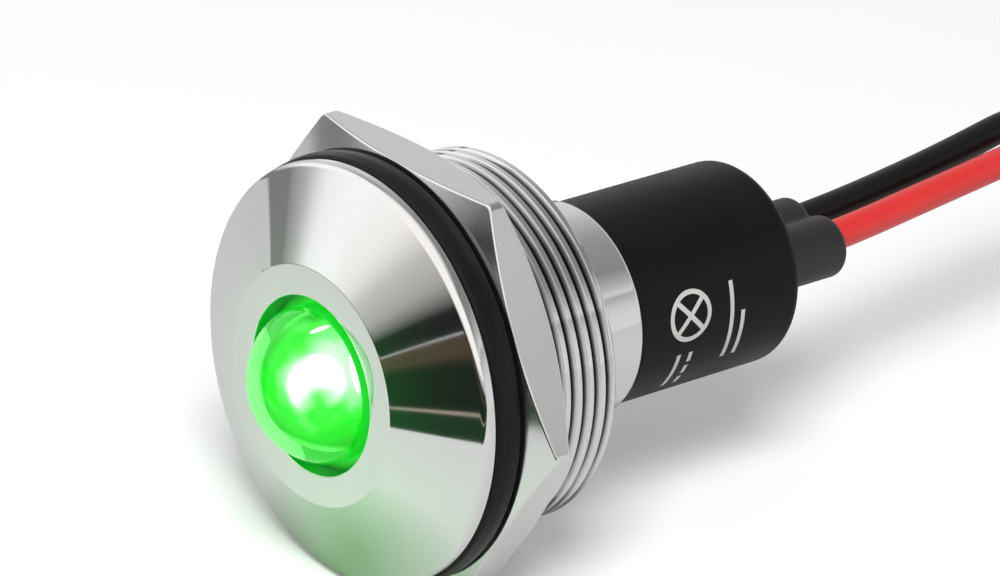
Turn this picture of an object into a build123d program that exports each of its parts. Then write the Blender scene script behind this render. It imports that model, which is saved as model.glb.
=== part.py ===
from build123d import *
import math
import os

# Panel pilot light with a threaded steel housing, in millimetres. The lamp's axis is Y: the dome
# faces -Y and the two leads leave towards +Y. The origin is on that axis, in the plane where the
# gasket meets the front of the panel. The lamp lies on the lower flat of its nut.

# Threaded barrel
crest_radius = 9.5
barrel_length = 8.75
barrel_end_chamfer = 0.1
thread_pitch = 0.75
thread_depth = 0.4
groove_width = 0.46
last_crest_width = 0.3
exposed_groove_width = 0.56
plain_shank = 0.9

# Bore and smooth tail of the housing
bore_radius = 5.0
tail_wall = 0.6
tail_taper = 0.4
tail_length = 5.28
tail_edge_round = 0.35

# Head of the housing
head_overhang = 1.25
rim_thickness = 0.65
rim_edge_round = 0.12
cone_rise = 2.16
lip_overhang = 0.45
lip_thickness = 1.2
face_flat_width = 1.56
lens_hole_chamfer = 0.06

# Gasket and nut
gasket_thickness = 1.5
gasket_overhang = 0.2
gasket_edge_round = 0.2
gasket_bore_clearance = 0.06
nut_overhang = 0.25
nut_thickness = 2.32
nut_corner_round = 0.5
nut_front_corner_drop = 0.64
nut_rear_corner_drop = 0.95
nut_face_inset = 0.05
nut_bore_clearance = 0.05
nut_bore_chamfer = 0.25
nut_gap = 0.1

# Lens
lens_ring_gap = 0.6
dome_height = 2.85
lens_wall = 1.0
flange_thickness = 0.8
seal_thickness = 0.3
seal_clearance = 0.05

# Light module inside the bore
module_clearance = 0.07
cup_depth = 2.6
cup_edge = 0.73
cup_throat_clearance = 0.11
cup_bulge = 0.25
led_board_thickness = 0.8
led_package_width = 2.6
led_package_height = 0.5
chip_width = 0.7
chip_height = 0.12
chip_spacing = 1.0
led_dome_radius = 1.2
chip_clearance = 0.02
carrier_wall = 0.6
carrier_length = 20.95
driver_start = 0.8
driver_length = 12.8
driver_board_thickness = 0.8
slot_depth = 0.3
slot_clearance = 0.05
lead_radius = 0.25
lead_spacing = 3.0
lead_length = 3.6
lead_clearance = 0.03
joint_length = 0.8
joint_radius = 0.5
resistor_length = 3.2
resistor_width = 1.6
resistor_height = 0.6
resistor_start = 5.4
diode_length = 3.6
diode_radius = 0.9
diode_start = 5.2
part_seat = 0.02

# Rear of the lamp
plug_flange = 0.85
plug_spigot = 1.4
plug_edge_clearance = 0.05
sleeve_gap = 0.17
sleeve_wall = 0.35
sleeve_clearance = 0.05
sleeve_edge_round = 0.7
sleeve_turn_in = 1.43
boot_lobe_overlap = 0.38
boot_length = 6.0
boot_base_clearance = 0.05
boot_base_thickness = 0.35
boot_notch_round = 0.35
boot_base_round = 0.9
boot_end_round = 0.45
edge_pick = 0.01

# Leads
wire_radius = 0.825
wire_spacing = 2.54
wire_hole_clearance = 0.04
wire_yaw = 6.5
wire_floor_gap = 0.02
tip_radius = 0.4
tip_length = 4.8
stub_length = 4.2
stub_angle = 52.0
stub_inset = 0.01

# Coils of the two leads, one on the other, and their tie
coil_outer_turn = 9.3
coil_gap = 0.05
tie_thickness = 0.35
tie_width = 2.4
tie_clearance = 0.05
tie_side_clearance = 0.18

# Radii that follow from the thread and the bore
head_radius = crest_radius + head_overhang
gasket_radius = head_radius + gasket_overhang
nut_bore_radius = crest_radius + nut_bore_clearance
nut_across_flats = 2 * (head_radius + nut_overhang)
nut_face_radius = nut_across_flats / 2 - nut_face_inset
floor_z = -nut_across_flats / 2
tail_end_radius = bore_radius + tail_wall
tail_root_radius = tail_end_radius + tail_taper
lens_hole_radius = bore_radius - lip_overhang
lens_radius = lens_hole_radius - lens_ring_gap
face_flat_radius = lens_hole_radius + face_flat_width
module_radius = bore_radius - module_clearance
carrier_inner_radius = module_radius - carrier_wall
cup_mouth_radius = module_radius - cup_edge
cup_throat_radius = led_package_width / math.sqrt(2) + cup_throat_clearance
sleeve_inner_radius = module_radius + sleeve_clearance
sleeve_radius = sleeve_inner_radius + sleeve_wall
sleeve_mouth_radius = sleeve_radius - sleeve_turn_in
plug_edge_round = sleeve_edge_round - sleeve_wall + plug_edge_clearance
boot_base_radius = sleeve_mouth_radius - boot_base_clearance
boot_lobe_radius = wire_spacing / 2 + boot_lobe_overlap
driver_top_z = driver_board_thickness / 2

# Stations along the axis
seat_y = 0.0
head_rear_y = seat_y - gasket_thickness
rim_front_y = head_rear_y - rim_thickness
face_y = rim_front_y - cone_rise
barrel_end_y = head_rear_y + barrel_length
tail_end_y = barrel_end_y + tail_length
lip_y = face_y + lip_thickness
flange_front_y = lip_y + seal_thickness
flange_rear_y = flange_front_y + flange_thickness
led_board_y = flange_rear_y + cup_depth
carrier_y = led_board_y + led_board_thickness
carrier_end_y = carrier_y + carrier_length
driver_y = carrier_y + driver_start
driver_end_y = driver_y + driver_length
plug_rear_y = carrier_end_y + plug_flange
sleeve_y = tail_end_y + sleeve_gap
sleeve_end_y = plug_rear_y + part_seat + sleeve_wall
nut_front_y = seat_y + nut_gap
nut_rear_y = nut_front_y + nut_thickness

# Grooves that fit on the barrel, and the one under the nut's rear edge
threaded_length = barrel_length - plain_shank - last_crest_width
groove_count = int(threaded_length // thread_pitch)
last_groove_y = barrel_end_y - last_crest_width - groove_width / 2
exposed_groove = round((last_groove_y - nut_rear_y) / thread_pitch)


def station(y, x=0, z=0):
    """The plane across the lamp's axis at y, facing the rear, with its second axis downwards."""
    return Plane(origin=(x, y, z), x_dir=(1, 0, 0), z_dir=(0, 1, 0))


def corner_at(x, y):
    """The vertex of the profile being drawn that lies at x, y."""
    return vertices().sort_by_distance((x, y, 0))[0]


# Housing: conical head, threaded barrel and smooth tail, turned as one piece
with BuildPart() as bezel_housing:
    with BuildSketch(Plane.XY):
        with BuildLine():
            Polyline(
                (bore_radius, lip_y),
                (lens_hole_radius, lip_y),
                (lens_hole_radius, face_y),
                (face_flat_radius, face_y),
                (head_radius, rim_front_y),
                (head_radius, head_rear_y),
                (crest_radius, head_rear_y),
                (crest_radius, barrel_end_y),
                (tail_root_radius, barrel_end_y),
                (tail_end_radius, tail_end_y),
                (bore_radius, tail_end_y),
                close=True,
            )
        make_face()
        chamfer(corner_at(lens_hole_radius, face_y), lens_hole_chamfer)
        fillet(corner_at(head_radius, rim_front_y), rim_edge_round)
        fillet(corner_at(head_radius, head_rear_y), rim_edge_round)
        chamfer(corner_at(crest_radius, barrel_end_y), barrel_end_chamfer)
        fillet(corner_at(tail_end_radius, tail_end_y), tail_edge_round)
    revolve(axis=Axis.Y)
    # The thread's grooves, as rings a pitch apart. The one under the nut's rear edge is the
    # run-in of the stretch that stands free behind the nut, and a little wider.
    with BuildSketch(Plane.XY):
        for turn in range(groove_count):
            width = exposed_groove_width if turn == exposed_groove else groove_width
            middle_y = last_groove_y - turn * thread_pitch
            with BuildLine():
                Polyline(
                    (crest_radius - thread_depth, middle_y),
                    (crest_radius, middle_y - width / 2),
                    (crest_radius + thread_depth, middle_y - width / 2),
                    (crest_radius + thread_depth, middle_y + width / 2),
                    (crest_radius, middle_y + width / 2),
                    close=True,
                )
            make_face()
    revolve(axis=Axis.Y, mode=Mode.SUBTRACT)
bezel_housing.part.label = "bezel_housing"

# Seal between the head's inner lip and the lens flange
with BuildPart() as lens_seal:
    with BuildSketch(station(lip_y)):
        Circle(module_radius)
        Circle(lens_radius + seal_clearance, mode=Mode.SUBTRACT)
    extrude(amount=seal_thickness)
lens_seal.part.label = "lens_seal"

# Lens: a hollow clear dome on a cylinder, held behind the lip by its flange
dome_radius = (lens_radius**2 + dome_height**2) / (2 * dome_height)
dome_centre_y = face_y - dome_height + dome_radius
cavity_radius = lens_radius - lens_wall
cavity_dome_radius = dome_radius - lens_wall
cavity_drop = math.sqrt(cavity_dome_radius**2 - cavity_radius**2)
with BuildPart() as lens:
    with BuildSketch(Plane.XY):
        with BuildLine():
            RadiusArc(
                (0, dome_centre_y - dome_radius),
                (lens_radius, face_y),
                -dome_radius,
            )
            Polyline(
                (lens_radius, face_y),
                (lens_radius, flange_front_y),
                (module_radius, flange_front_y),
                (module_radius, flange_rear_y),
                (cavity_radius, flange_rear_y),
                (cavity_radius, dome_centre_y - cavity_drop),
            )
            RadiusArc(
                (cavity_radius, dome_centre_y - cavity_drop),
                (0, dome_centre_y - cavity_dome_radius),
                cavity_dome_radius,
            )
            Line(
                (0, dome_centre_y - cavity_dome_radius),
                (0, dome_centre_y - dome_radius),
            )
        make_face()
    revolve(axis=Axis.Y)
lens.part.label = "lens"

# Reflector cup between the lens flange and the light's board
cup_middle_radius = (cup_mouth_radius + cup_throat_radius) / 2 + cup_bulge
cup_middle_y = (flange_rear_y + led_board_y) / 2 + cup_bulge
with BuildPart() as reflector_cup:
    with BuildSketch(Plane.XY):
        with BuildLine():
            Polyline(
                (cup_mouth_radius, flange_rear_y),
                (module_radius, flange_rear_y),
                (module_radius, led_board_y),
                (cup_throat_radius, led_board_y),
            )
            ThreePointArc(
                (cup_throat_radius, led_board_y),
                (cup_middle_radius, cup_middle_y),
                (cup_mouth_radius, flange_rear_y),
            )
        make_face()
    revolve(axis=Axis.Y)
reflector_cup.part.label = "reflector_cup"

# Round board that carries the light, with two holes for the leads of the driver board
with BuildPart() as led_board:
    with BuildSketch(station(led_board_y)):
        Circle(module_radius)
        with Locations(
            (-lead_spacing / 2, -driver_top_z - lead_radius - part_seat),
            (lead_spacing / 2, -driver_top_z - lead_radius - part_seat),
        ):
            Circle(lead_radius + lead_clearance, mode=Mode.SUBTRACT)
    extrude(amount=led_board_thickness)
led_board.part.label = "led_board"

with BuildPart() as led_package:
    with BuildSketch(station(led_board_y)):
        RectangleRounded(led_package_width, led_package_width, led_package_height / 2)
    extrude(amount=-led_package_height)
led_package.part.label = "led_package"

chip_y = led_board_y - led_package_height
with BuildPart() as led_chips:
    with BuildSketch(station(chip_y)):
        with Locations((-chip_spacing / 2, 0), (chip_spacing / 2, 0)):
            Rectangle(chip_width, chip_width)
    extrude(amount=-chip_height)
led_chips.part.label = "led_chips"

# Clear drop over the chips
with BuildPart() as led_drop:
    with BuildSketch(Plane.XY):
        with BuildLine():
            RadiusArc((0, chip_y - led_dome_radius), (led_dome_radius, chip_y), -led_dome_radius)
            Polyline((led_dome_radius, chip_y), (0, chip_y), (0, chip_y - led_dome_radius))
        make_face()
    revolve(axis=Axis.Y)
    with BuildSketch(station(chip_y)):
        with Locations((-chip_spacing / 2, 0), (chip_spacing / 2, 0)):
            Rectangle(chip_width + 2 * chip_clearance, chip_width + 2 * chip_clearance)
    extrude(amount=-chip_height - chip_clearance, mode=Mode.SUBTRACT)
led_drop.part.label = "led_drop"

# Plastic carrier tube with two slots that hold the driver board's edges
with BuildPart() as carrier_tube:
    with BuildSketch(station(carrier_y)):
        Circle(module_radius)
        Circle(carrier_inner_radius, mode=Mode.SUBTRACT)
    extrude(amount=carrier_length)
    with BuildSketch(station(driver_y - slot_clearance)):
        Rectangle(
            2 * (carrier_inner_radius + slot_depth),
            driver_board_thickness + 2 * slot_clearance,
        )
    extrude(amount=carrier_end_y - driver_y + slot_clearance, mode=Mode.SUBTRACT)
carrier_tube.part.label = "carrier_tube"

driver_width = 2 * (carrier_inner_radius + slot_depth - slot_clearance)
with BuildPart() as driver_board:
    with BuildSketch(station(driver_y)):
        Rectangle(driver_width, driver_board_thickness)
    extrude(amount=driver_length)
driver_board.part.label = "driver_board"

# Two stiff leads from the light's board to pads on the driver board
lead_z = driver_top_z + lead_radius + part_seat
lead_front_y = led_board_y + part_seat
lead_end_y = carrier_y + lead_length
lead_x = lead_spacing / 2
with BuildPart() as led_lead_positive:
    with BuildSketch(station(lead_front_y, lead_x, lead_z)):
        Circle(lead_radius)
    extrude(amount=lead_end_y - lead_front_y)
led_lead_positive.part.label = "led_lead_positive"

with BuildPart() as led_lead_negative:
    with BuildSketch(station(lead_front_y, -lead_x, lead_z)):
        Circle(lead_radius)
    extrude(amount=lead_end_y - lead_front_y)
led_lead_negative.part.label = "led_lead_negative"

# Solder joints: at the ends of the two leads, and on the board's rear edge beside the wires
wire_x = wire_spacing / 2
joint_spots = [
    (lead_x, lead_end_y),
    (-lead_x, lead_end_y),
    (wire_x, driver_end_y - joint_length),
    (-wire_x, driver_end_y - joint_length),
]
with BuildPart() as solder_joints:
    for joint_x, joint_y in joint_spots:
        with BuildSketch(station(joint_y, joint_x, driver_top_z)):
            Circle(joint_radius)
            with Locations((0, joint_radius)):
                Rectangle(3 * joint_radius, 2 * joint_radius, mode=Mode.SUBTRACT)
        extrude(amount=joint_length)
solder_joints.part.label = "solder_joints"

# Series resistor on top of the driver board and polarity diode below it
with BuildPart() as series_resistor:
    with BuildSketch(Plane.XY.offset(driver_top_z)):
        with Locations((0, driver_y + resistor_start + resistor_length / 2)):
            Rectangle(resistor_width, resistor_length)
    extrude(amount=resistor_height)
series_resistor.part.label = "series_resistor"

with BuildPart() as polarity_diode:
    with BuildSketch(station(driver_y + diode_start, 0, -driver_top_z - diode_radius - part_seat)):
        Circle(diode_radius)
    extrude(amount=diode_length)
polarity_diode.part.label = "polarity_diode"

# Closing plug of the carrier tube, with a hole for each wire
with BuildPart() as rear_plug:
    with BuildSketch(station(carrier_end_y)):
        Circle(module_radius)
    extrude(amount=plug_flange)
    fillet(edges().group_by(Axis.Y)[-1], plug_edge_round)
    with BuildSketch(station(carrier_end_y)):
        Circle(carrier_inner_radius - slot_clearance)
    extrude(amount=-plug_spigot)
    with BuildSketch(station(carrier_end_y - plug_spigot)):
        with Locations((-wire_x, 0), (wire_x, 0)):
            Circle(wire_radius + wire_hole_clearance)
    extrude(amount=plug_spigot + plug_flange, mode=Mode.SUBTRACT)
rear_plug.part.label = "rear_plug"

# Heat-shrink sleeve over the carrier tube, drawn in over the plug's edge at its rear
with BuildPart() as heat_shrink_sleeve:
    with BuildSketch(Plane.XY):
        with BuildLine():
            Polyline(
                (sleeve_inner_radius, sleeve_y),
                (sleeve_radius, sleeve_y),
                (sleeve_radius, sleeve_end_y),
                (sleeve_mouth_radius, sleeve_end_y),
                (sleeve_mouth_radius, sleeve_end_y - sleeve_wall),
                (sleeve_inner_radius, sleeve_end_y - sleeve_wall),
                close=True,
            )
        make_face()
        fillet(corner_at(sleeve_radius, sleeve_end_y), sleeve_edge_round)
        fillet(
            corner_at(sleeve_inner_radius, sleeve_end_y - sleeve_wall),
            sleeve_edge_round - sleeve_wall,
        )
    revolve(axis=Axis.Y)
heat_shrink_sleeve.part.label = "heat_shrink_sleeve"

# Routes of the two leads: straight out of the boot, down to the floor, and along it to the coils
floor_wire_z = floor_z + wire_radius + wire_floor_gap
red_coil_z = floor_z + tie_thickness + tie_clearance
black_coil_z = red_coil_z + 2 * wire_radius + coil_gap
heading = (-math.sin(math.radians(wire_yaw)), math.cos(math.radians(wire_yaw)))


def along(point, distance, z):
    """The point that lies a distance further along the leads' heading, at height z."""
    return (point[0] + distance * heading[0], point[1] + distance * heading[1], z)


red_bend = (wire_x, 26.6, 0)
red_route = [
    (wire_x, driver_end_y + part_seat, 0),
    red_bend,
    along(red_bend, 22.0, 0.7),
    along(red_bend, 34.4, floor_wire_z),
    along(red_bend, 46.0, red_coil_z + wire_radius),
]
black_bend = (-wire_x, 26.6, 0)
black_route = [
    (-wire_x, driver_end_y + part_seat, 0),
    black_bend,
    along(black_bend, 24.4, 1.1),
    along(red_bend, 37.0, black_coil_z + wire_radius),
    along(red_bend, 46.0, black_coil_z + wire_radius),
]


def corner_radii(name, route):
    """The radius of each corner: 0.45 of its shorter run, over the tangent of half its turn."""
    radii = []
    for before, here, after in zip(route, route[1:], route[2:]):
        first = Vector(*here) - Vector(*before)
        second = Vector(*after) - Vector(*here)
        half = math.radians(first.get_angle(second)) / 2
        radii.append(0.45 * min(first.length, second.length) / math.tan(half))
    print(name, "corner radii", [round(radius, 1) for radius in radii])
    return radii


def lead_tube(name, route, radius):
    """A lead's round section swept along its route of straight runs and tangent arcs."""
    with BuildPart() as tube:
        with BuildLine():
            FilletPolyline(*route, radius=corner_radii(name, route))
        with BuildSketch(Plane(origin=route[0], z_dir=(0, 1, 0))):
            Circle(radius)
        sweep()
    return tube.part


red_tube = lead_tube("red_wire", red_route, wire_radius)
black_tube = lead_tube("black_wire", black_route, wire_radius)
red_hole = lead_tube("red hole", red_route[:3], wire_radius + wire_hole_clearance)
black_hole = lead_tube("black hole", black_route[:3], wire_radius + wire_hole_clearance)

# Boot where the two leads come out: a figure of eight on a thin base, moulded round the leads.
# The round at its foot stays on the base.
boot_foot_room = boot_base_radius - wire_x - boot_lobe_radius
with BuildPart() as wire_boot:
    with BuildSketch(station(plug_rear_y)):
        Circle(boot_base_radius)
    extrude(amount=boot_base_thickness)
    with BuildSketch(station(plug_rear_y)):
        with Locations((-wire_x, 0), (wire_x, 0)):
            Circle(boot_lobe_radius)
        fillet(vertices(), boot_notch_round)
    extrude(amount=boot_length)
    base_plane_edges = edges().filter_by_position(
        Axis.Y,
        plug_rear_y + boot_base_thickness - edge_pick,
        plug_rear_y + boot_base_thickness + edge_pick,
    )
    fillet(base_plane_edges.sort_by(SortBy.RADIUS)[:-1], min(boot_base_round, 0.9 * boot_foot_room))
    fillet(edges().group_by(Axis.Y)[-1], boot_end_round)
    add(red_hole, mode=Mode.SUBTRACT)
    add(black_hole, mode=Mode.SUBTRACT)
wire_boot.part.label = "wire_boot"

# Coils: each lead's put-away turns lie side by side in a flat ring, the black ring on the red
coil_inner_turn = coil_outer_turn - 2 * wire_radius
coil_outside = coil_outer_turn + wire_radius
coil_inside = coil_inner_turn - wire_radius
inward = (heading[1], -heading[0])
coil_centre = (
    red_route[-1][0] + coil_outer_turn * inward[0],
    red_route[-1][1] + coil_outer_turn * inward[1],
)
stub_start = (
    coil_centre[0] - coil_inner_turn * inward[0],
    coil_centre[1] - coil_inner_turn * inward[1],
)
stub_turn = math.radians(stub_angle)
stub_way = (
    math.cos(stub_turn) * heading[0] + math.sin(stub_turn) * inward[0],
    math.cos(stub_turn) * heading[1] + math.sin(stub_turn) * inward[1],
)


def coil_ring(base_z):
    """A ring with the outer shape of one lead's turns, and the lead's end inside it."""
    with BuildPart() as ring:
        with BuildSketch(Plane(origin=(coil_centre[0], coil_centre[1], base_z))):
            Circle(coil_outside)
            Circle(coil_inside, mode=Mode.SUBTRACT)
        extrude(amount=2 * wire_radius)
        with BuildSketch(
            Plane(
                origin=(stub_start[0], stub_start[1], base_z + wire_radius),
                z_dir=(stub_way[0], stub_way[1], 0),
            )
        ):
            Circle(wire_radius - stub_inset)
        extrude(amount=stub_length)
    return ring.part


def bare_tip(base_z):
    """The stripped end of a lead, which goes on from the stub inside its ring."""
    with BuildPart() as tip:
        with BuildSketch(
            Plane(
                origin=(
                    stub_start[0] + stub_length * stub_way[0],
                    stub_start[1] + stub_length * stub_way[1],
                    base_z + wire_radius,
                ),
                z_dir=(stub_way[0], stub_way[1], 0),
            )
        ):
            Circle(tip_radius)
        extrude(amount=tip_length)
    return tip.part


with BuildPart() as red_coil:
    add(coil_ring(red_coil_z))
red_coil.part.label = "red_coil"

with BuildPart() as black_coil:
    add(coil_ring(black_coil_z))
black_coil.part.label = "black_coil"

with BuildPart() as red_wire_tip:
    add(bare_tip(red_coil_z))
red_wire_tip.part.label = "red_wire_tip"

with BuildPart() as black_wire_tip:
    add(bare_tip(black_coil_z))
black_wire_tip.part.label = "black_wire_tip"

# The leads end against the outside of their rings
with BuildPart() as red_wire:
    add(red_tube)
    add(coil_ring(red_coil_z), mode=Mode.SUBTRACT)
red_wire.part.label = "red_wire"

with BuildPart() as black_wire:
    add(black_tube)
    add(coil_ring(black_coil_z), mode=Mode.SUBTRACT)
black_wire.part.label = "black_wire"

# Tie round both rings, on the side away from where the leads arrive
tie_height = 2 * 2 * wire_radius + coil_gap + 2 * tie_clearance
tie_depth = coil_outside - coil_inside + 2 * tie_side_clearance
tie_middle = (coil_outside + coil_inside) / 2
tie_plane = Plane(
    origin=(
        coil_centre[0] + tie_middle * inward[0],
        coil_centre[1] + tie_middle * inward[1],
        floor_z + tie_thickness + tie_height / 2,
    ),
    x_dir=(inward[0], inward[1], 0),
    z_dir=(-heading[0], -heading[1], 0),
)
with BuildPart() as coil_tie:
    with BuildSketch(tie_plane):
        RectangleRounded(
            tie_depth + 2 * tie_thickness,
            tie_height + 2 * tie_thickness,
            tie_thickness * 2,
        )
        RectangleRounded(tie_depth, tie_height, tie_clearance, mode=Mode.SUBTRACT)
    extrude(amount=tie_width / 2, both=True)
coil_tie.part.label = "coil_tie"

# Gasket under the head
with BuildPart() as panel_gasket:
    with BuildSketch(station(head_rear_y)):
        Circle(gasket_radius)
        Circle(crest_radius + gasket_bore_clearance, mode=Mode.SUBTRACT)
    extrude(amount=gasket_thickness)
    outer_edges = edges().filter_by(GeomType.CIRCLE).group_by(SortBy.RADIUS)[-1]
    fillet(outer_edges, gasket_edge_round)
panel_gasket.part.label = "panel_gasket"

# Nut, with both faces turned down at the corners
nut_corner_reach = nut_across_flats / math.sqrt(3) - nut_face_radius
with BuildPart() as hex_nut:
    with BuildSketch(station(nut_front_y)):
        RegularPolygon(nut_across_flats / 2, 6, major_radius=False)
        fillet(vertices(), nut_corner_round)
    extrude(amount=nut_thickness)
    with BuildSketch(Plane.XY):
        with BuildLine():
            Polyline(
                (0, nut_front_y),
                (nut_face_radius, nut_front_y),
                (nut_face_radius + nut_corner_reach, nut_front_y + nut_front_corner_drop),
                (nut_face_radius + nut_corner_reach, nut_rear_y - nut_rear_corner_drop),
                (nut_face_radius, nut_rear_y),
                (0, nut_rear_y),
                close=True,
            )
        make_face()
    revolve(axis=Axis.Y, mode=Mode.INTERSECT)
    with BuildSketch(Plane.XY):
        with BuildLine():
            Polyline(
                (0, nut_front_y),
                (nut_bore_radius + nut_bore_chamfer, nut_front_y),
                (nut_bore_radius, nut_front_y + nut_bore_chamfer),
                (nut_bore_radius, nut_rear_y - nut_bore_chamfer),
                (nut_bore_radius + nut_bore_chamfer, nut_rear_y),
                (0, nut_rear_y),
                close=True,
            )
        make_face()
    revolve(axis=Axis.Y, mode=Mode.SUBTRACT)
hex_nut.part.label = "hex_nut"

os.makedirs("parts", exist_ok=True)
export_step(bezel_housing.part, "parts/bezel_housing.step")
export_step(lens_seal.part, "parts/lens_seal.step")
export_step(lens.part, "parts/lens.step")
export_step(reflector_cup.part, "parts/reflector_cup.step")
export_step(led_board.part, "parts/led_board.step")
export_step(led_package.part, "parts/led_package.step")
export_step(led_chips.part, "parts/led_chips.step")
export_step(led_drop.part, "parts/led_drop.step")
export_step(carrier_tube.part, "parts/carrier_tube.step")
export_step(driver_board.part, "parts/driver_board.step")
export_step(led_lead_positive.part, "parts/led_lead_positive.step")
export_step(led_lead_negative.part, "parts/led_lead_negative.step")
export_step(solder_joints.part, "parts/solder_joints.step")
export_step(series_resistor.part, "parts/series_resistor.step")
export_step(polarity_diode.part, "parts/polarity_diode.step")
export_step(rear_plug.part, "parts/rear_plug.step")
export_step(heat_shrink_sleeve.part, "parts/heat_shrink_sleeve.step")
export_step(wire_boot.part, "parts/wire_boot.step")
export_step(red_wire.part, "parts/red_wire.step")
export_step(black_wire.part, "parts/black_wire.step")
export_step(red_coil.part, "parts/red_coil.step")
export_step(black_coil.part, "parts/black_coil.step")
export_step(red_wire_tip.part, "parts/red_wire_tip.step")
export_step(black_wire_tip.part, "parts/black_wire_tip.step")
export_step(coil_tie.part, "parts/coil_tie.step")
export_step(panel_gasket.part, "parts/panel_gasket.step")
export_step(hex_nut.part, "parts/hex_nut.step")
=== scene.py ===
import math

import bmesh
import bpy
from mathutils import Matrix, Vector


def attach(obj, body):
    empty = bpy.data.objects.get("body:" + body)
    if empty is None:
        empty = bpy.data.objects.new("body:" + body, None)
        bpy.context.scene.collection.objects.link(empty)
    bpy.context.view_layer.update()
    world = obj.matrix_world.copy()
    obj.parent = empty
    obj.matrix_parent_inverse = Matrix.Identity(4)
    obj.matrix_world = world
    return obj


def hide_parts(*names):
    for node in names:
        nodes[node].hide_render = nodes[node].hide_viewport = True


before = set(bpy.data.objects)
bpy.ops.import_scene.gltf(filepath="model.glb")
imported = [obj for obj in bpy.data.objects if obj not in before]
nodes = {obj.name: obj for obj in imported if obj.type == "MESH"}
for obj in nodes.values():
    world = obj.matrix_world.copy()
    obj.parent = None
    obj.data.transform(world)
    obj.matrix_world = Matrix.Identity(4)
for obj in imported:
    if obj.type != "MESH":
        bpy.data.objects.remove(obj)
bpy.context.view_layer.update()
scene = bpy.context.scene
MM = 0.001

# Measures in millimetres, as in the part's source
CREST_R = 9.5
HEAD_R = 10.75
GASKET_R = 10.95
PITCH = 0.75
GROOVE_DEPTH = 0.4
GROOVE_WIDTH = 0.46
GROOVE_FLAT = 0.07
GROOVE_Y = 6.72
GROOVE_ANGLE = math.radians(20)
RUN_OUT_Y = -0.6
RUN_OUT_LENGTH = 0.35
BARREL_CHAMFER = 0.1
FLAT_DISTANCE = 11.0
NUT_CORNER_ROUND = 0.5
BORE_R = 5.0
HOLE_R = 4.55
FACE_R = 6.11
TAIL_START_R = 6.0
TAIL_END_R = 5.6
BARREL_END_R = 9.1
HEAD_REAR = -1.5
RIM_FRONT = -2.15
FACE_Y = -4.31
LIP_Y = -3.11
NUT_FRONT = 0.1
NUT_REAR = 2.42
NUT_BORE_R = 9.55
NUT_MOUTH_R = 9.8
NUT_FACE_R = 10.95
BARREL_END = 7.25
TAIL_END = 12.53
SLEEVE_START = 12.7
SLEEVE_END = 23.56
SLEEVE_R = 5.33
SLEEVE_WALL = 0.35
SLEEVE_HOLE_R = 3.9
FLOOR = -11.0
WIRE_R = 0.825
WIRE_X = 1.27
WIRE_START = 15.01
WIRE_BEND_START = 26.6


def link(obj, body="lamp"):
    """Puts an object in the scene and lets it ride on a body."""
    scene.collection.objects.link(obj)
    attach(obj, body)
    return obj


# Camera, at the photograph's place and angle. Its place is in head radii from the rim's middle
AZIMUTH, ELEVATION, ROLL = (math.radians(a) for a in (47.62, 25.30, 4.90))
EYE_OFFSET = Vector((18.538, -16.007, 12.080))
forward = Vector(
    (
        -math.sin(AZIMUTH) * math.cos(ELEVATION),
        math.cos(AZIMUTH) * math.cos(ELEVATION),
        -math.sin(ELEVATION),
    )
)
level = forward.cross(Vector((0, 0, 1))).normalized()
right = Matrix.Rotation(-ROLL, 3, forward) @ level
up = right.cross(forward)
eye = (Vector((0, RIM_FRONT, 0)) + HEAD_R * EYE_OFFSET) * MM
camera_data = bpy.data.cameras.new("camera")
camera_data.sensor_width = 36.0
camera_data.lens = 216.0
camera_data.clip_start = 0.01
camera_data.clip_end = 50.0
camera = bpy.data.objects.new("camera", camera_data)
camera.matrix_world = Matrix.Translation(eye) @ Matrix(
    (
        (right.x, up.x, -forward.x),
        (right.y, up.y, -forward.y),
        (right.z, up.z, -forward.z),
    )
).to_4x4()
scene.collection.objects.link(camera)
scene.camera = camera


# Material building blocks
WHITE = (1.0, 1.0, 1.0)
BLACK = (0.0, 0.0, 0.0)


def grey(level):
    return (level, level, level)


def node_material(name):
    """A node material with a Principled shader on its output."""
    material = bpy.data.materials.new(name)
    material.use_nodes = True
    tree = material.node_tree
    return material, tree, tree.nodes["Principled BSDF"]


def set_inputs(node, values):
    """Gives a node's inputs plain values, or links them where the value is an output."""
    for name, value in values.items():
        if isinstance(value, bpy.types.NodeSocket):
            node.id_data.links.new(value, node.inputs[name])
        else:
            node.inputs[name].default_value = value


def texture_space(tree):
    return tree.nodes.new("ShaderNodeTexCoord").outputs["Object"]


def noise(tree, vector, scale, detail=3.0, rough=0.55):
    n = tree.nodes.new("ShaderNodeTexNoise")
    set_inputs(n, {"Vector": vector, "Scale": scale, "Detail": detail, "Roughness": rough})
    return n.outputs["Fac"]


def spread(tree, value, low, high, start=0.3, end=0.7, smooth=False):
    """Maps a value from start..end onto low..high."""
    m = tree.nodes.new("ShaderNodeMapRange")
    m.interpolation_type = "SMOOTHSTEP" if smooth else "LINEAR"
    set_inputs(
        m, {"Value": value, "From Min": start, "From Max": end, "To Min": low, "To Max": high}
    )
    return m.outputs["Result"]


def rise(tree, value, band, smooth=False):
    """0 before a band of values, 1 past it."""
    return spread(tree, value, 0.0, 1.0, *band, smooth)


def fall(tree, value, band, smooth=False):
    """1 before a band of values, 0 past it."""
    return spread(tree, value, 1.0, 0.0, *band, smooth)


def arithmetic(tree, operation, first, second):
    m = tree.nodes.new("ShaderNodeMath")
    m.operation = operation
    for socket, value in zip(m.inputs, (first, second)):
        if isinstance(value, float):
            socket.default_value = value
        else:
            tree.links.new(value, socket)
    return m.outputs[0]


def product(tree, first, second):
    return arithmetic(tree, "MULTIPLY", first, second)


def larger(tree, first, second):
    return arithmetic(tree, "MAXIMUM", first, second)


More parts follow.
